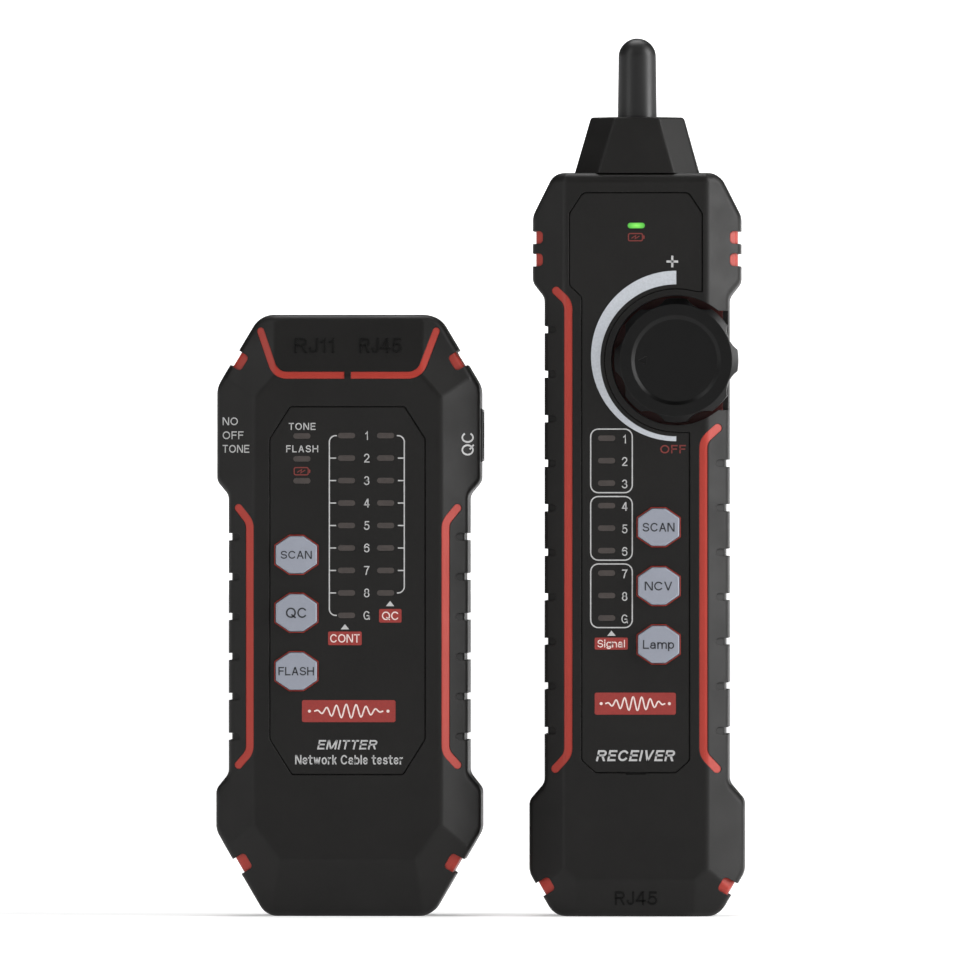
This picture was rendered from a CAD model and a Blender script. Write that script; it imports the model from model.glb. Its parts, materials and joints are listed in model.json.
import json
import math

import bpy
import bmesh
from mathutils import Matrix, Vector


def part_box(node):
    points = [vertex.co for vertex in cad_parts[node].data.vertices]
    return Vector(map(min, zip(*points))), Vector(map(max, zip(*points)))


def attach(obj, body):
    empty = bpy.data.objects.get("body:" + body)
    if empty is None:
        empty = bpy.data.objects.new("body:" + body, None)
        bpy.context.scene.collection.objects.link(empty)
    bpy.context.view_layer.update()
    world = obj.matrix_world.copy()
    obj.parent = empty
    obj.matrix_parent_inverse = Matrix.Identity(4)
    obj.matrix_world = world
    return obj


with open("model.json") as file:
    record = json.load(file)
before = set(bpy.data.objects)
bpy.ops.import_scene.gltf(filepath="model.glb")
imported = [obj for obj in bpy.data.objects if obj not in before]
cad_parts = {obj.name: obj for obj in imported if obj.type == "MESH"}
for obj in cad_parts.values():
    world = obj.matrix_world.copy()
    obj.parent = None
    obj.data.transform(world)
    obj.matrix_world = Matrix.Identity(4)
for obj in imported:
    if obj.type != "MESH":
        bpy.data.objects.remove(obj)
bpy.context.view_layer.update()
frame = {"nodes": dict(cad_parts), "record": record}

MM = 0.001
NODES = frame["nodes"]

# Printed marks stand this far out of the surface that they are on.
INK = 0.03 * MM
RELIEF = 0.18 * MM
SINK = 0.02 * MM

# Edges of moulded pieces look this round.
EDGE_SOFT = 0.25 * MM


def node_centre(node):
    low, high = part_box(node)
    return (low + high) / 2


# Centrelines of the two units, and what the paint of their pieces is placed by
EMITTER_X = node_centre("emitter_front_jacket").x
RECEIVER_X = node_centre("receiver_front_jacket").x
DIAL = node_centre("receiver_dial_shaft")
POCKET_REACH = 17.0 * MM
POWER_CENTRE = node_centre("receiver_power_light_pipe")
POWER_REACH = 1.3 * MM


# ---------------------------------------------------------------- materials


def linear(red, green, blue):
    """A display colour, 0 to 255, as a linear one."""
    def channel(value):
        value /= 255
        return value / 12.92 if value <= 0.04045 else ((value + 0.055) / 1.055) ** 2.4
    return (channel(red), channel(green), channel(blue), 1.0)


class Recipe:
    """A material under construction: a Principled shader and helpers that feed it."""

    def __init__(self, name):
        self.material = bpy.data.materials.new(name)
        self.material.use_nodes = True
        self.tree = self.material.node_tree
        self.shader = self.tree.nodes["Principled BSDF"]
        self.place = self.node("ShaderNodeTexCoord").outputs["Object"]

    def node(self, kind):
        return self.tree.nodes.new(kind)

    def link(self, source, target):
        self.tree.links.new(source, target)

    def feed(self, socket, source):
        """Drive one of the shader's own sockets."""
        self.link(source, self.shader.inputs[socket])

    def noise(self, size, detail=2.0, stretch=None):
        """Noise whose lumps are about this size."""
        place = self.place
        if stretch:
            mapping = self.node("ShaderNodeMapping")
            mapping.inputs["Scale"].default_value = stretch
            self.link(place, mapping.inputs["Vector"])
            place = mapping.outputs["Vector"]
        noise = self.node("ShaderNodeTexNoise")
        noise.inputs["Scale"].default_value = 1 / size
        noise.inputs["Detail"].default_value = detail
        self.link(place, noise.inputs["Vector"])
        return noise.outputs["Fac"]

    def spread(self, value, low, high, start=0.3, end=0.7):
        """A value from start to end, mapped to low to high."""
        node = self.node("ShaderNodeMapRange")
        node.inputs["From Min"].default_value = start
        node.inputs["From Max"].default_value = end
        node.inputs["To Min"].default_value = low
        node.inputs["To Max"].default_value = high
        self.link(value, node.inputs["Value"])
        return node.outputs["Result"]

    def blend(self, share, first, second):
        """Two colours, or two coloured outputs, mixed by a share."""
        node = self.node("ShaderNodeMix")
        node.data_type = "RGBA"
        self.link(share, node.inputs["Factor"])
        for socket, colour in ((node.inputs[6], first), (node.inputs[7], second)):
            if isinstance(colour, tuple):
                socket.default_value = colour
            else:
                self.link(colour, socket)
        return node.outputs[2]

    def away(self, centre, across=1.0):
        """How far a point is from a line along Y, with X scaled by across."""
        flat = self.node("ShaderNodeMapping")
        flat.inputs["Scale"].default_value = (across, 0.0, 1.0)
        self.link(self.place, flat.inputs["Vector"])
        distance = self.node("ShaderNodeVectorMath")
        distance.operation = "DISTANCE"
        distance.inputs[1].default_value = (centre.x * across, 0.0, centre.z)
        self.link(flat.outputs["Vector"], distance.inputs[0])
        return distance.outputs["Value"]

    def bump(self, height, strength, depth, after=None):
        node = self.node("ShaderNodeBump")
        node.inputs["Strength"].default_value = strength
        node.inputs["Distance"].default_value = depth
        self.link(height, node.inputs["Height"])
        if after:
            self.link(after, node.inputs["Normal"])
        return node.outputs["Normal"]

    def edges(self, radius):
        """How near a sharp edge a point is, 0 to 1, and the softened normal there."""
        bevel = self.node("ShaderNodeBevel")
        bevel.samples = 4
        bevel.inputs["Radius"].default_value = radius
        geometry = self.node("ShaderNodeNewGeometry")
        dot = self.node("ShaderNodeVectorMath")
        dot.operation = "DOT_PRODUCT"
        self.link(bevel.outputs["Normal"], dot.inputs[0])
        self.link(geometry.outputs["Normal"], dot.inputs[1])
        return self.spread(dot.outputs["Value"], 1.0, 0.0, 0.8, 0.995), bevel.outputs["Normal"]


def shade(colour, factor):
    """A colour made darker or lighter."""
    return (colour[0] * factor, colour[1] * factor, colour[2] * factor, 1.0)


def moulded(name, colour, roughness, grain, depth, specular=0.5, mottle=0.18, worn=None, grime=None):
    """Moulded plastic or rubber: fine grain, uneven colour and polish, rubbed edges, grime in a round well."""
    recipe = Recipe(name)
    cloud = recipe.noise(14 * MM, 3.0)
    speck = recipe.noise(grain * 2.2, 2.0)
    share = recipe.spread(cloud, 0.0, 1.0)
    base = recipe.blend(share, shade(colour, 1 - mottle), shade(colour, 1 + mottle))
    fine = recipe.blend(recipe.spread(speck, 0.0, 0.5), base, shade(colour, 1 + 2 * mottle))
    near, soft = recipe.edges(EDGE_SOFT)
    if worn:
        rub = recipe.node("ShaderNodeMath")
        rub.operation = "MULTIPLY"
        recipe.link(near, rub.inputs[0])
        recipe.link(recipe.spread(recipe.noise(5 * MM, 3.0), 0.0, 0.6), rub.inputs[1])
        fine = recipe.blend(rub.outputs["Value"], fine, worn)
    if grime:
        well, reach = grime
        dirt = recipe.spread(recipe.away(well), 1.0, 0.0, reach * 0.97, reach)
        fine = recipe.blend(dirt, fine, shade(colour, 0.18))
    recipe.feed("Base Color", fine)
    polish = recipe.spread(recipe.noise(9 * MM, 4.0), roughness - 0.05, roughness + 0.06)
    recipe.feed("Roughness", polish)
    recipe.shader.inputs["Specular IOR Level"].default_value = specular
    texture = recipe.bump(recipe.noise(grain, 1.0), 0.6, depth, soft)
    recipe.feed("Normal", texture)
    return recipe.material


def metal(name, colour, roughness, grain, stretch):
    """Drawn, turned or plated metal with fine lines and uneven polish."""
    recipe = Recipe(name)
    lines = recipe.noise(grain, 3.0, stretch)
    share = recipe.spread(lines, 0.0, 1.0)
    recipe.feed("Base Color", recipe.blend(share, shade(colour, 0.75), shade(colour, 1.1)))
    recipe.feed("Roughness", recipe.spread(lines, roughness - 0.08, roughness + 0.1))
    recipe.shader.inputs["Metallic"].default_value = 1.0
    recipe.feed("Normal", recipe.bump(lines, 0.3, 0.01 * MM))
    return recipe.material


def printed(name, colour, roughness=0.5):
    """Screen-printed ink: slightly uneven cover and a soft tooth."""
    recipe = Recipe(name)
    cover = recipe.spread(recipe.noise(0.5 * MM, 3.0), 0.0, 1.0)
    recipe.feed("Base Color", recipe.blend(cover, shade(colour, 0.9), shade(colour, 1.06)))
    polish = recipe.spread(recipe.noise(3 * MM, 2.0), roughness - 0.06, roughness + 0.06)
    recipe.feed("Roughness", polish)
    recipe.feed("Normal", recipe.bump(recipe.noise(0.15 * MM, 1.0), 0.4, 0.01 * MM))
    return recipe.material


def window(name, colour, glow=None):
    """A light pipe's face: smoky diffusing plastic, or the same lit from behind."""
    recipe = Recipe(name)
    haze = recipe.spread(recipe.noise(1.2 * MM, 2.0), 0.0, 1.0)
    recipe.feed("Base Color", recipe.blend(haze, shade(colour, 0.85), shade(colour, 1.15)))
    recipe.feed("Roughness", recipe.spread(haze, 0.3, 0.42, 0.0, 1.0))
    recipe.feed("Normal", recipe.bump(recipe.noise(0.3 * MM, 1.0), 0.3, 0.01 * MM))
    if glow:
        centre, reach, core, rim = glow
        near = recipe.spread(recipe.away(centre, 0.5), 1.0, 0.0, 0.0, reach)
        recipe.feed("Emission Color", recipe.blend(near, rim, core))
        recipe.feed("Emission Strength", recipe.spread(near, 0.3, 0.7, 0.0, 1.0))
    return recipe.material


def clear(name, colour, roughness):
    """Clear moulded acrylic with faint flow marks."""
    recipe = Recipe(name)
    flow = recipe.noise(1.5 * MM, 2.0)
    tint = recipe.blend(recipe.spread(flow, 0.0, 1.0), shade(colour, 0.93), colour)
    recipe.feed("Base Color", tint)
    recipe.feed("Roughness", recipe.spread(flow, roughness, roughness + 0.08))
    recipe.shader.inputs["Transmission Weight"].default_value = 0.85
    recipe.shader.inputs["IOR"].default_value = 1.49
    recipe.feed("Normal", recipe.bump(flow, 0.2, 0.02 * MM))
    return recipe.material


BLACK = linear(18, 17, 16)
PANEL_BLACK = linear(19, 18, 17)
RED = linear(156, 49, 39)
GREY = linear(136, 140, 151)
LEGEND = linear(178, 178, 178)
PROBE_BLACK = linear(19, 19, 19)
DIAL_BLACK = linear(5, 5, 5)


def make_materials():
    green_core = linear(165, 250, 110)
    green_rim = linear(30, 150, 20)
    return {
        "soft_black_jacket": moulded(
            "soft_black_jacket", BLACK, 0.46, 0.22 * MM, 0.02 * MM, 0.22, worn=linear(48, 47, 45)
        ),
        "red_shell": moulded(
            "red_shell", RED, 0.45, 0.2 * MM, 0.01 * MM, 0.3, mottle=0.06, grime=(DIAL, POCKET_REACH)
        ),
        "relief_rubber": moulded("relief_rubber", linear(11, 11, 10), 0.6, 0.22 * MM, 0.01 * MM, 0.12),
        "black_panel": moulded("black_panel", PANEL_BLACK, 0.5, 0.3 * MM, 0.02 * MM, 0.22),
        "black_nose": moulded("black_nose", BLACK, 0.45, 0.22 * MM, 0.02 * MM, 0.25, worn=linear(46, 45, 43)),
        "black_probe": moulded("black_probe", PROBE_BLACK, 0.42, 0.3 * MM, 0.005 * MM, 0.34, mottle=0.1),
        "black_dial": moulded(
            "black_dial", DIAL_BLACK, 0.34, 0.22 * MM, 0.012 * MM, 0.2, worn=linear(60, 58, 56)
        ),
        "button_grey": moulded("button_grey", GREY, 0.5, 0.2 * MM, 0.006 * MM, mottle=0.03),
        "jack_plastic": moulded("jack_plastic", linear(26, 26, 26), 0.4, 0.25 * MM, 0.01 * MM),
        "switch_black": moulded("switch_black", linear(30, 30, 30), 0.42, 0.25 * MM, 0.01 * MM),
        "board_green": moulded("board_green", linear(20, 96, 52), 0.35, 0.4 * MM, 0.01 * MM),
        "battery_wrap": moulded("battery_wrap", linear(50, 88, 160), 0.3, 1.5 * MM, 0.03 * MM),
        "speaker_black": moulded("speaker_black", linear(34, 34, 34), 0.6, 0.3 * MM, 0.02 * MM),
        "ferrite": moulded("ferrite", linear(70, 70, 72), 0.6, 0.3 * MM, 0.02 * MM),
        "led_body": moulded("led_body", linear(225, 222, 200), 0.3, 0.3 * MM, 0.005 * MM, mottle=0.05),
        "turned_steel": metal("turned_steel", linear(190, 190, 192), 0.3, 0.3 * MM, (1, 12, 1)),
        "pot_metal": metal("pot_metal", linear(185, 185, 180), 0.35, 0.4 * MM, (8, 1, 1)),
        "switch_metal": metal("switch_metal", linear(185, 185, 180), 0.35, 0.4 * MM, (1, 1, 8)),
        "gold_contacts": metal("gold_contacts", linear(230, 190, 105), 0.25, 0.2 * MM, (8, 1, 1)),
        "steel_port": metal("steel_port", linear(190, 190, 195), 0.3, 0.3 * MM, (8, 1, 1)),
        "black_screws": metal("black_screws", linear(62, 62, 64), 0.42, 0.2 * MM, (1, 1, 1)),
        "steel_screws": metal("steel_screws", linear(190, 190, 190), 0.35, 0.2 * MM, (1, 1, 1)),
        "light_pipe": window("light_pipe", linear(55, 48, 45)),
        "lit_light_pipe": window(
            "lit_light_pipe", linear(60, 150, 50), (POWER_CENTRE, POWER_REACH, green_core, green_rim)
        ),
        "clear_lens": clear("clear_lens", linear(240, 242, 245), 0.05),
        "legend_ink": printed("legend_ink", LEGEND),
        "dark_ink": printed("dark_ink", linear(28, 30, 36)),
        "red_ink": printed("red_ink", linear(140, 38, 32)),
        "dull_red_ink": printed("dull_red_ink", linear(112, 36, 30)),
        "scale_ink": printed("scale_ink", linear(182, 186, 192), 0.42),
        "tag_ink": printed("tag_ink", linear(225, 205, 200)),
    }


MATERIALS = make_materials()


def dress_frame():
    """Every CAD node shows the finish of its own material slot."""
    for entry in frame["record"]["subparts"]:
        mesh = NODES[entry["node"]].data
        mesh.materials.clear()
        mesh.materials.append(MATERIALS[entry["material_slot"]])


# ---------------------------------------------------------------- flat marks


def arc(x, y, radius, start, end, steps=10):
    """Points of an arc, angles in degrees."""
    turns = [math.radians(start + (end - start) * step / steps) for step in range(steps + 1)]
    return [(x + radius * math.cos(turn), y + radius * math.sin(turn)) for turn in turns]


def rounded_box(x, y, wide, tall, radius):
    """The outline of a box with round corners, anticlockwise."""
    half_wide = wide / 2 - radius
    half_tall = tall / 2 - radius
    points = []
    for across, up, start in ((1, -1, -90), (1, 1, 0), (-1, 1, 90), (-1, -1, 180)):
        points += arc(x + across * half_wide, y + up * half_tall, radius, start, start + 90, 6)
    return points


def fill(mesh, outline):
    """One flat face inside an outline given in millimetres."""
    mesh.faces.new([mesh.verts.new((x * MM, y * MM, 0)) for x, y in outline])


def stroke(mesh, points, width, closed=False):
    """A band of even width along points given in millimetres."""
    count = len(points)
    sides = []
    for index, here in enumerate(points):
        before = points[index - 1] if closed or index else here
        after = points[(index + 1) % count] if closed or index < count - 1 else here
        arrive = Vector(here) - Vector(before)
        leave = Vector(after) - Vector(here)
        arrive = arrive.normalized() if arrive.length else leave.normalized()
        leave = leave.normalized() if leave.length else arrive
        along = (arrive + leave).normalized()
        reach = width / 2 / max(along.dot(arrive), 0.5)
        out = Vector((-along.y, along.x)) * reach
        pair = []
        for hand in (1, -1):
            place = Vector(here) + out * hand
            pair.append(mesh.verts.new((place.x * MM, place.y * MM, 0)))
        sides.append(pair)
    spans = count if closed else count - 1
    for index in range(spans):
        left, right = sides[index]
        next_left, next_right = sides[(index + 1) % count]
        mesh.faces.new((left, right, next_right, next_left))


# Letters are drawn in a box one unit high: a width, then the strokes. A list is a band along points
# whose middle runs from 0 to 1 in both directions; a tuple is a slanted bar cut level at both ends.
X_HEIGHT = 0.72


def oval(x, y, wide, tall, start=0, end=360, steps=18):
    """Points of an elliptical arc from its middle and half sizes; a whole one is closed."""
    turns = [math.radians(start + (end - start) * step / steps) for step in range(steps + 1)]
    points = [(x + wide * math.cos(turn), y + tall * math.sin(turn)) for turn in turns]
    if end - start == 360:
        points[-1] = points[0]
    return points


BOWL = oval(0.5, X_HEIGHT / 2, 0.5, X_HEIGHT / 2)
LEFT_STEM = [(0, 0), (0, 1)]
RIGHT_STEM = [(1, 0), (1, 1)]
SHORT_STEM = [(0, 0), (0, X_HEIGHT)]
GLYPHS = {
    " ": (0.22, []),
    "1": (0.34, [[(0.0, 0.76), (0.55, 0.84), (0.85, 1.0), (0.85, 0.0)]]),
    "2": (0.63, [oval(0.5, 0.71, 0.47, 0.29, 168, -32) + [(0.04, 0.02), (0.04, 0.0), (1, 0)]]),
    "3": (0.63, [oval(0.48, 0.75, 0.42, 0.25, 160, -90), oval(0.49, 0.26, 0.5, 0.26, 92, -162)]),
    "4": (0.65, [[(0.76, 0), (0.76, 1)], [(0, 0.27), (1, 0.27)], (0.72, 1.0, 0.02, 0.3)]),
    "5": (0.63, [[(0.92, 1), (0.2, 1), (0.1, 0.5)] + oval(0.48, 0.32, 0.52, 0.32, 132, -155)]),
    "6": (0.63, [oval(0.5, 0.32, 0.5, 0.32), oval(0.54, 0.55, 0.54, 0.45, 38, 180) + [(0, 0.32)]]),
    "7": (0.61, [[(0, 1), (1, 1), (0.55, 0.52), (0.34, 0)]]),
    "8": (0.63, [oval(0.5, 0.76, 0.42, 0.24), oval(0.5, 0.27, 0.5, 0.27)]),
    "A": (0.68, [(0.02, 0, 0.5, 1), (0.98, 0, 0.5, 1), [(0.27, 0.32), (0.73, 0.32)]]),
    "C": (0.70, [oval(0.52, 0.5, 0.52, 0.5, 40, 320)]),
    "E": (0.58, [[(1, 1), (0, 1), (0, 0), (1, 0)], [(0, 0.53), (0.9, 0.53)]]),
    "F": (0.54, [[(1, 1), (0, 1), (0, 0)], [(0, 0.52), (0.88, 0.52)]]),
    "G": (0.74, [
        oval(0.5, 0.5, 0.5, 0.5, 42, 330) + [(0.96, 0.46), (0.56, 0.46)],
        [(0.98, 0.46), (0.98, 0)],
    ]),
    "H": (0.66, [LEFT_STEM, RIGHT_STEM, [(0, 0.52), (1, 0.52)]]),
    "I": (0.14, [[(0.5, 0), (0.5, 1)]]),
    "J": (0.48, [[(1, 1)] + oval(0.5, 0.3, 0.5, 0.3, 0, -172)]),
    "L": (0.52, [[(0, 1), (0, 0), (1, 0)]]),
    "M": (0.80, [LEFT_STEM, RIGHT_STEM, (0.04, 1, 0.5, 0), (0.96, 1, 0.5, 0)]),
    "N": (0.66, [LEFT_STEM, RIGHT_STEM, (0.06, 1, 0.94, 0)]),
    "O": (0.76, [oval(0.5, 0.5, 0.5, 0.5)]),
    "Q": (0.76, [oval(0.5, 0.5, 0.5, 0.5), [(0.62, 0.26), (0.98, -0.02)]]),
    "R": (0.66, [
        LEFT_STEM + oval(0.62, 0.76, 0.36, 0.24, 90, -90) + [(0, 0.52)],
        (0.58, 0.5, 0.98, 0),
    ]),
    "S": (0.62, [oval(0.5, 0.75, 0.46, 0.25, 18, 270) + oval(0.5, 0.25, 0.5, 0.25, 82, -160)]),
    "T": (0.58, [[(0, 1), (1, 1)], [(0.5, 1), (0.5, 0)]]),
    "V": (0.68, [(0.02, 1, 0.5, 0), (0.98, 1, 0.5, 0)]),
    "a": (0.54, [
        oval(0.48, 0.49, 0.42, 0.23, 160, 0) + [(0.9, 0)],
        [(0.9, 0.43), (0.5, 0.4)] + oval(0.4, 0.2, 0.4, 0.2, 100, 270) + [(0.62, 0.02), (0.9, 0.14)],
    ]),
    "b": (0.54, [LEFT_STEM, BOWL]),
    "e": (0.54, [[(0, 0.37), (1, 0.37)], oval(0.5, 0.36, 0.5, 0.36, 0, 318)]),
    "g": (0.54, [BOWL, [(1, X_HEIGHT)] + oval(0.5, 0.0, 0.5, 0.24, 0, -155)]),
    "i": (0.14, [[(0.5, 0), (0.5, X_HEIGHT)], [(0.5, 0.94), (0.5, 1.05)]]),
    "k": (0.48, [LEFT_STEM, (0.94, 0.76, 0.1, 0.22), (0.4, 0.46, 0.98, 0)]),
    "l": (0.14, [[(0.5, 0), (0.5, 1)]]),
    "m": (0.84, [
        SHORT_STEM,
        oval(0.25, 0.46, 0.25, 0.26, 180, 0) + [(0.5, 0)],
        oval(0.75, 0.46, 0.25, 0.26, 180, 0) + [(1.0, 0)],
    ]),
    "n": (0.52, [SHORT_STEM, oval(0.5, 0.44, 0.5, 0.28, 180, 0) + [(1, 0)]]),
    "o": (0.56, [BOWL]),
    "p": (0.54, [[(0, -0.3), (0, X_HEIGHT)], BOWL]),
    "r": (0.36, [SHORT_STEM, oval(1, 0.42, 1, 0.3, 180, 95)]),
    "s": (0.50, [oval(0.5, 0.54, 0.44, 0.18, 20, 270) + oval(0.5, 0.18, 0.5, 0.18, 85, -160)]),
    "t": (0.42, [
        [(0.38, 0.98), (0.38, 0.14), (0.56, 0.0), (0.95, 0)],
        [(-0.12, X_HEIGHT), (1.05, X_HEIGHT)],
    ]),
    "w": (0.76, [(0.02, 0.78, 0.26, 0), (0.5, 0.78, 0.26, 0), (0.5, 0.78, 0.74, 0), (0.98, 0.78, 0.74, 0)]),
}


def lettering(mesh, text, x, y, cap, width=None, weight=0.13, slant=0.0, align="CENTER", turn=0.0, gap=0.1):
    """Flat letters whose capitals are cap high, centred on or starting at x, y, in millimetres."""
    natural = sum(GLYPHS[letter][0] for letter in text) + gap * (len(text) - 1)
    spread = width / cap / natural if width else 1.0
    spin = Matrix.Rotation(math.radians(turn), 2)

    def placed(across, up):
        point = spin @ Vector(((across + slant * (up - 0.5)) * cap, (up - 0.5) * cap))
        return (x + point.x, y + point.y)

    start = 0.0 if align == "LEFT" else -natural * spread / 2
    for letter in text:
        wide, strokes = GLYPHS[letter]
        for piece in strokes:
            draw_stroke(mesh, piece, start, wide * spread, weight, cap, placed)
        start += (wide + gap) * spread


def draw_stroke(mesh, piece, start, wide, weight, cap, placed):
    """One stroke of a letter whose box starts at start and is wide across."""
    if isinstance(piece, tuple):
        start_across, low, end_across, high = piece
        reach = math.hypot((end_across - start_across) * (wide - weight), high - low) / abs(high - low)
        half = weight / 2 * reach
        corners = []
        for across, up, hands in ((start_across, low, (-1, 1)), (end_across, high, (1, -1))):
            middle = start + weight / 2 + across * (wide - weight)
            corners += [placed(middle + hand * half, up) for hand in hands]
        fill(mesh, corners)
        return
    middle = [(start + weight / 2 + u * (wide - weight), weight / 2 + v * (1 - weight)) for u, v in piece]
    closed = piece[0] == piece[-1]
    if closed:
        middle.pop()
    else:
        middle[0] = lengthened(middle[1], middle[0], weight / 2)
        middle[-1] = lengthened(middle[-2], middle[-1], weight / 2)
    stroke(mesh, [placed(across, up) for across, up in middle], weight * cap, closed)


def lengthened(start, end, more):
    """The end of a line, moved on past itself."""
    way = (Vector(end) - Vector(start)).normalized() * more
    return (end[0] + way.x, end[1] + way.y)


def surface(node, x, z):
    """Where the front of a CAD node is at x, z, and which way it faces there."""
    start = Vector((x, -0.1, z))
    hit, place, normal = NODES[node].ray_cast(start, Vector((0, 1, 0)))[:3]
    if not hit:
        raise ValueError(f"nothing of {node} lies at {x}, {z}")
    return place, normal


def facing(place, normal, up=Vector((0, 0, 1))):
    """A frame on a surface: X to the right, Y up the surface, Z out of it."""
    right = up.cross(normal).normalized()
    along = normal.cross(right)
    turn = Matrix((right, along, normal)).transposed().to_4x4()
    return Matrix.Translation(place) @ turn


def mark(name, body, material, mesh, stand, height=INK):
    """A flat mark made solid, set on its surface, and ridden on its body."""
    bmesh.ops.recalc_face_normals(mesh, faces=mesh.faces)
    for face in mesh.faces:
        if face.normal.z < 0:
            face.normal_flip()
    solid = bmesh.ops.extrude_face_region(mesh, geom=list(mesh.faces))
    raised = [item for item in solid["geom"] if isinstance(item, bmesh.types.BMVert)]
    bmesh.ops.translate(mesh, verts=raised, vec=(0, 0, height + SINK))
    bmesh.ops.recalc_face_normals(mesh, faces=mesh.faces)
    bmesh.ops.transform(mesh, matrix=stand @ Matrix.Translation((0, 0, -SINK)), verts=mesh.verts)
    data = bpy.data.meshes.new(name)
    mesh.to_mesh(data)
    mesh.free()
    data.materials.append(MATERIALS[material])
    piece = bpy.data.objects.new(name, data)
    bpy.context.scene.collection.objects.link(piece)
    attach(piece, body)
    return piece


def panel_stand(node, centre_x):
    """A frame on a flat panel whose origin is the unit's centreline at the base."""
    low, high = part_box(node)
    return facing(Vector((centre_x, low.y, 0)), Vector((0, -1, 0)))


# ---------------------------------------------------------------- emitter marks

ROWS = "12345678G"
ROW_PITCH = 5.62
TOP_ROW = 120.3
LEFT_COLUMN = -0.25
RIGHT_COLUMN = 9.55
STROKE = 0.3


def battery_icon(mesh, x, y):
    """An outlined cell with a nub and a spark across it."""
    stroke(mesh, rounded_box(x - 0.2, y, 3.5, 1.8, 0.4), 0.28, closed=True)
    fill(mesh, rounded_box(x + 1.85, y, 0.45, 0.9, 0.2))
    stroke(mesh, [(x - 1.2, y - 0.3), (x - 0.1, y + 0.42), (x - 0.3, y - 0.42), (x + 0.8, y + 0.3)], 0.24)


def triangle(mesh, x, y, wide, tall):
    fill(mesh, [(x - wide / 2, y - tall / 2), (x + wide / 2, y - tall / 2), (x, y + tall / 2)])


def wave(mesh, x, y, long, high):
    """A burst of tone: a sine wave that swells and fades."""
    steps = 96
    points = []
    for step in range(steps + 1):
        share = step / steps
        swell = math.sin(math.pi * share)
        points.append((x + (share - 0.5) * long, y + high / 2 * swell * math.sin(share * 2 * math.pi * 7)))
    stroke(mesh, points, 0.36)


def tag(unit, name, text, x, y, wide, tall, cap, text_width, stand):
    """A small red printed tag with light letters."""
    back = bmesh.new()
    fill(back, rounded_box(x, y, wide, tall, 0.35))
    mark(f"{unit}_{name}_tag", unit, "red_ink", back, stand)
    front = bmesh.new()
    lettering(front, text, x, y, cap, text_width, 0.13)
    mark(f"{unit}_{name}_tag_letters", unit, "tag_ink", front, stand, 2 * INK)


def emblem(unit, x, y, wide, tall, stand):
    """A plain red plate with a generic tone wave."""
    back = bmesh.new()
    fill(back, rounded_box(x, y, wide, tall, 0.5))
    mark(f"{unit}_emblem_plate", unit, "red_ink", back, stand)
    front = bmesh.new()
    wave(front, x, y, wide * 0.74, tall * 0.62)
    for hand in (1, -1):
        fill(front, arc(x + hand * wide * 0.42, y, 0.38, 0, 345, 20))
    mark(f"{unit}_emblem_wave", unit, "tag_ink", front, stand, 2 * INK)


def emitter_panel_marks():
    stand = panel_stand("emitter_face_panel", EMITTER_X)
    letters = bmesh.new()
    lettering(letters, "TONE", -11.35, 122.6, 1.75, 6.7, 0.14, gap=0.18)
    lettering(letters, "FLASH", -11.35, 117.0, 1.75, 8.0, 0.14, gap=0.18)
    for row, text in enumerate(ROWS):
        lettering(letters, text, 4.8, TOP_ROW - ROW_PITCH * row, 2.2, weight=0.12)
    lettering(letters, "EMITTER", 0.0, 43.0, 2.35, 14.75, 0.17, 0.22, gap=0.14)
    lettering(letters, "Network Cable tester", 0.4, 39.25, 2.35, 27.0, 0.14)
    triangle(letters, RIGHT_COLUMN + 1.1, 78.3, 2.1, 1.3)
    triangle(letters, LEFT_COLUMN - 0.4, 72.5, 2.1, 1.3)
    mark("emitter_panel_letters", "emitter", "legend_ink", letters, stand)

    lines = bmesh.new()
    left, right, turn = -4.55, 14.2, 1.6
    last = TOP_ROW - ROW_PITCH * 8
    left_line = [(left + turn + 0.25, TOP_ROW)] + arc(left + turn, TOP_ROW - turn, turn, 90, 180)
    left_line += arc(left + turn, last + turn, turn, 180, 270) + [(left + turn + 0.25, last)]
    stroke(lines, left_line, STROKE)
    last = TOP_ROW - ROW_PITCH * 7
    right_line = [(right - turn - 0.25, TOP_ROW)] + arc(right - turn, TOP_ROW - turn, turn, 90, 0)
    right_line += arc(right - turn, last + turn, turn, 0, -90) + [(right - turn - 0.25, last)]
    stroke(lines, right_line, STROKE)
    for row in range(1, 8):
        z = TOP_ROW - ROW_PITCH * row
        stroke(lines, [(left + STROKE / 2, z), (left + 1.7, z)], STROKE)
        if row < 7:
            stroke(lines, [(right - STROKE / 2, z), (right - 1.6, z)], STROKE)
    mark("emitter_panel_lines", "emitter", "legend_ink", lines, stand)

    icon = bmesh.new()
    battery_icon(icon, -11.4, 111.4)
    mark("emitter_battery_icon", "emitter", "dull_red_ink", icon, stand)
    tag("emitter", "check", "QC", 10.7, 75.25, 5.6, 3.4, 2.1, 4.2, stand)
    tag("emitter", "continuity", "CONT", -0.65, 69.6, 8.4, 3.4, 2.1, 7.4, stand)
    emblem("emitter", 0.3, 51.4, 23.4, 5.5, stand)


def shoulder_letters():
    """Legends printed on the emitter's sloped shoulders, beside the switch and the side jack."""
    node = "emitter_front_jacket"
    for text, z, width in (("NO", 123.9, 4.7), ("OFF", 120.4, 6.5), ("TONE", 117.0, 8.3)):
        stand = facing(*surface(node, EMITTER_X - 29.0 * MM, z * MM))
        letters = bmesh.new()
        lettering(letters, text, -3.0, 0, 1.95, width, 0.14, align="LEFT", gap=0.15)
        name = f"emitter_switch_letters_{text.lower()}"
        mark(name, "emitter", "legend_ink", letters, stand)
    stand = facing(*surface(node, EMITTER_X + 29.9 * MM, 118.2 * MM))
    letters = bmesh.new()
    lettering(letters, "QC", 0, 0, 3.6, 5.75, 0.12, turn=90)
    mark("emitter_side_jack_letters", "emitter", "legend_ink", letters, stand)


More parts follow.
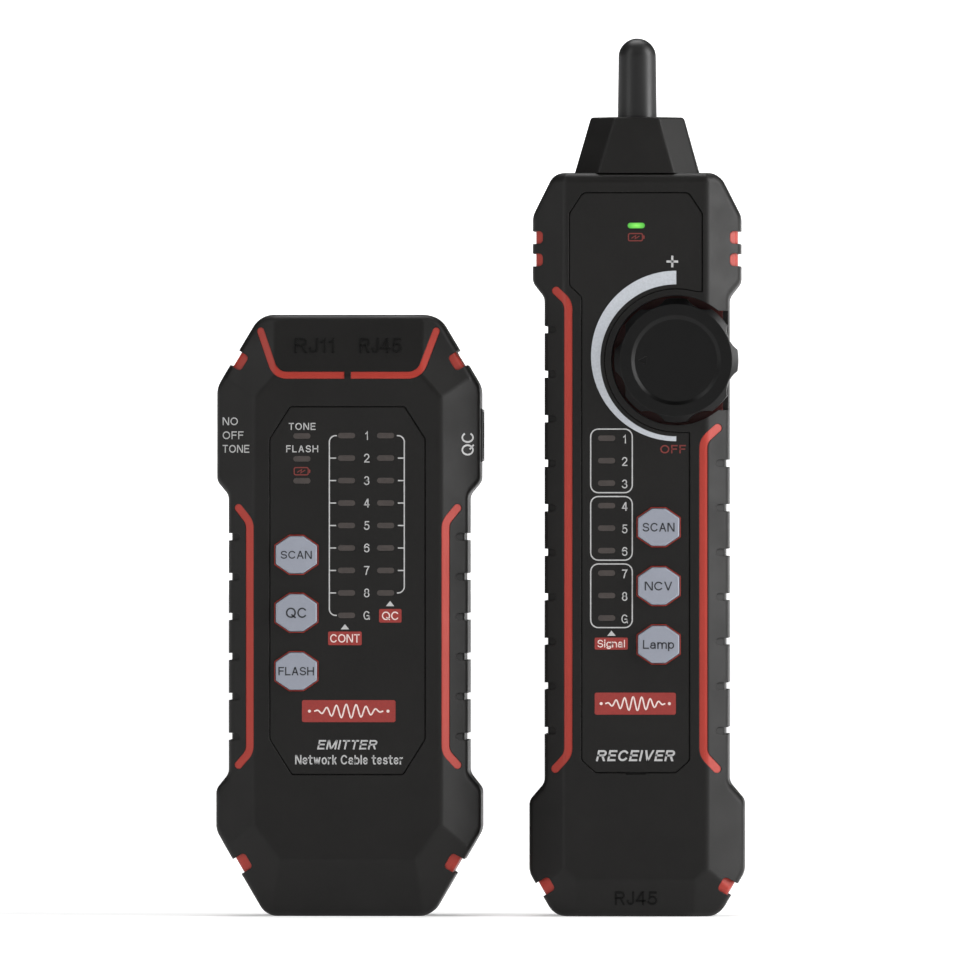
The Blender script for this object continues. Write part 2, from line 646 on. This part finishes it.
def raised_letters(unit, name, text, x, z, cap, width):
    """Letters moulded into a slope in the jacket's own rubber."""
    stand = facing(*surface(f"{unit}_front_jacket", x, z))
    letters = bmesh.new()
    lettering(letters, text, 0, 0, cap, width, 0.14)
    mark(f"{unit}_{name}_relief", unit, "relief_rubber", letters, stand, RELIEF)


# ---------------------------------------------------------------- receiver marks

SIGNAL_TOP = 119.65
SIGNAL_COLUMN = -6.1
CRESCENT_OUTER = 21.3
CRESCENT_INNER = 19.0
CRESCENT_RISE = 1.1
CRESCENT_STEPS = 96


def receiver_panel_marks():
    stand = panel_stand("receiver_face_panel", RECEIVER_X)
    letters = bmesh.new()
    for row, text in enumerate(ROWS):
        lettering(letters, text, -2.8, SIGNAL_TOP - ROW_PITCH * row - 0.2, 2.2, weight=0.12)
    lettering(letters, "RECEIVER", 0.0, 40.3, 2.75, 19.4, 0.18, 0.22, gap=0.13)
    triangle(letters, SIGNAL_COLUMN, 70.9, 2.1, 1.3)
    stroke(letters, [(7.65, 163.8), (10.55, 163.8)], 0.55)
    stroke(letters, [(9.1, 162.35), (9.1, 165.25)], 0.55)
    mark("receiver_panel_letters", "receiver", "legend_ink", letters, stand)

    frames = bmesh.new()
    for middle in (1, 4, 7):
        z = SIGNAL_TOP - ROW_PITCH * middle - 0.05
        stroke(frames, rounded_box(SIGNAL_COLUMN, z, 10.4, 15.9, 1.9), STROKE, closed=True)
    mark("receiver_signal_frames", "receiver", "legend_ink", frames, stand)

    red = bmesh.new()
    lettering(red, "OFF", 9.3, 116.9, 2.1, 6.4, 0.15, gap=0.15)
    battery_icon(red, 0.1, 169.9)
    mark("receiver_red_marks", "receiver", "dull_red_ink", red, stand)
    tag("receiver", "signal", "Signal", -6.15, 68.3, 8.3, 3.0, 1.9, 6.9, stand)
    emblem("receiver", -0.15, 53.3, 20.3, 5.5, stand)
    volume_scale(stand)


def volume_scale(stand):
    """A pale crescent round the dial, thick at the loud end and thin at the quiet end."""
    x = (DIAL.x - RECEIVER_X) / MM
    z = DIAL.z / MM
    crescent = bmesh.new()
    lines = []
    for centre_z, radius in ((z + CRESCENT_RISE, CRESCENT_OUTER), (z, CRESCENT_INNER)):
        line = arc(x, centre_z, radius, 90, 270, CRESCENT_STEPS)
        lines.append([crescent.verts.new((across * MM, up * MM, 0)) for across, up in line])
    outer, inner = lines
    for step in range(CRESCENT_STEPS):
        crescent.faces.new((outer[step], outer[step + 1], inner[step + 1], inner[step]))
    mark("receiver_volume_scale", "receiver", "scale_ink", crescent, stand)


def button_letters():
    """Each cap carries its own word and moves with it."""
    words = {
        "emitter_button_scan": ("SCAN", 2.0, 7.8),
        "emitter_button_qc": ("QC", 2.6, 5.2),
        "emitter_button_flash": ("FLASH", 2.1, 8.9),
        "receiver_button_scan": ("SCAN", 2.2, 8.0),
        "receiver_button_ncv": ("NCV", 2.2, 6.9),
        "receiver_button_lamp": ("Lamp", 2.2, 7.8),
    }
    for node, (word, cap, width) in words.items():
        face = node_centre(node)
        face.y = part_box(node)[0].y
        stand = facing(face, Vector((0, -1, 0)))
        letters = bmesh.new()
        lettering(letters, word, 0, 0, cap, width, 0.145)
        mark(node + "_letters", node, "dark_ink", letters, stand)


# ---------------------------------------------------------------- studio


FLOOR_REACH = 14.0
WALL_ROUND = 0.5
WALL_TOP = 1.0
FLOOR_SIDES = 96
NEAR_GLOW = 0.36
NEAR_REACH = 0.3
FAR_GLOW = 1.15
FAR_REACH = 1.6


def pale_floor():
    """Matt pale paint, lit softly near the object and brightly far away from it."""
    recipe = Recipe("pale_floor")
    cloud = recipe.spread(recipe.noise(0.4, 2.0), 0.0, 1.0)
    paint = recipe.blend(cloud, (0.895, 0.895, 0.895, 1), (0.9, 0.9, 0.9, 1))
    recipe.feed("Base Color", paint)
    recipe.feed("Emission Color", paint)
    away = recipe.node("ShaderNodeVectorMath")
    away.operation = "LENGTH"
    recipe.link(recipe.place, away.inputs[0])
    glow = recipe.spread(away.outputs["Value"], NEAR_GLOW, FAR_GLOW, NEAR_REACH, FAR_REACH)
    recipe.feed("Emission Strength", glow)
    recipe.shader.inputs["Roughness"].default_value = 0.9
    recipe.shader.inputs["Specular IOR Level"].default_value = 0.1
    return recipe.material


def studio():
    """A round pale floor whose rim curves up into a wall on every side."""
    flat = FLOOR_REACH - WALL_ROUND
    profile = [(0.5, 0.0), (flat, 0.0)] + arc(flat, WALL_ROUND, WALL_ROUND, -90, 0, 12)
    profile.append((FLOOR_REACH, WALL_TOP))
    bowl = bmesh.new()
    rings = []
    for reach, height in profile:
        turns = [2 * math.pi * side / FLOOR_SIDES for side in range(FLOOR_SIDES)]
        spots = [(reach * math.cos(turn), reach * math.sin(turn), height) for turn in turns]
        rings.append([bowl.verts.new(spot) for spot in spots])
    bowl.faces.new(rings[0])
    for inner, outer in zip(rings, rings[1:]):
        for side in range(FLOOR_SIDES):
            beside = (side + 1) % FLOOR_SIDES
            bowl.faces.new((inner[side], outer[side], outer[beside], inner[beside]))
    data = bpy.data.meshes.new("pale_floor")
    bowl.to_mesh(data)
    bowl.free()
    data.materials.append(pale_floor())
    for face in data.polygons:
        face.use_smooth = True
    floor = bpy.data.objects.new("pale_floor", data)
    bpy.context.scene.collection.objects.link(floor)


def softbox(name, place, aim, wide, tall, power):
    light = bpy.data.lights.new(name, "AREA")
    light.shape = "RECTANGLE"
    light.size = wide
    light.size_y = tall
    light.energy = power
    holder = bpy.data.objects.new(name, light)
    bpy.context.scene.collection.objects.link(holder)
    way = Vector(aim) - Vector(place)
    holder.matrix_world = Matrix.Translation(place) @ way.to_track_quat("-Z", "Y").to_matrix().to_4x4()


def lights():
    softbox("right_softbox", (1.02, -0.2, 0.5), (0.0, 0.0, 0.1), 0.4, 0.9, 16.5)
    softbox("left_softbox", (-0.73, -0.61, 0.6), (0.0, 0.0, 0.1), 0.3, 1.1, 3.9)
    softbox("front_softbox", (0.0, -1.05, 1.2), (0.0, 0.0, 0.1), 1.5, 0.5, 2.2)
    softbox("top_softbox", (0.0, 0.45, 1.3), (0.0, 0.45, 0.0), 0.9, 0.7, 11)
    world = bpy.data.worlds.new("studio")
    world.use_nodes = True
    background = world.node_tree.nodes["Background"]
    background.inputs["Color"].default_value = (1, 1, 1, 1)
    background.inputs["Strength"].default_value = 0.02
    bpy.context.scene.world = world


CAMERA_PLACE = Vector((0.152, -4.514, 0.1092))
CAMERA_AIM = Vector((0.0001, -0.014, 0.1092))
VIEW_WIDE = 0.240
SENSOR_WIDE = 36.0


def camera():
    """Level with the middle of the pair, in front of the receiver."""
    data = bpy.data.cameras.new("camera")
    data.sensor_width = SENSOR_WIDE
    away = (CAMERA_AIM - CAMERA_PLACE).length
    data.lens = SENSOR_WIDE * away / VIEW_WIDE
    data.clip_start = 0.05
    data.clip_end = 60
    holder = bpy.data.objects.new("camera", data)
    bpy.context.scene.collection.objects.link(holder)
    way = (CAMERA_AIM - CAMERA_PLACE).to_track_quat("-Z", "Y")
    holder.matrix_world = Matrix.Translation(CAMERA_PLACE) @ way.to_matrix().to_4x4()
    bpy.context.scene.camera = holder


dress_frame()
emitter_panel_marks()
shoulder_letters()
raised_letters("emitter", "rj11", "RJ11", EMITTER_X - 8.3 * MM, 142.9 * MM, 3.9, 10.1)
raised_letters("emitter", "rj45", "RJ45", EMITTER_X + 8.2 * MM, 142.9 * MM, 3.9, 10.5)
receiver_panel_marks()
raised_letters("receiver", "rj45", "RJ45", RECEIVER_X, 4.6 * MM, 3.6, 10.6)
button_letters()
studio()
lights()
camera()
bpy.context.scene.view_settings.view_transform = "Standard"
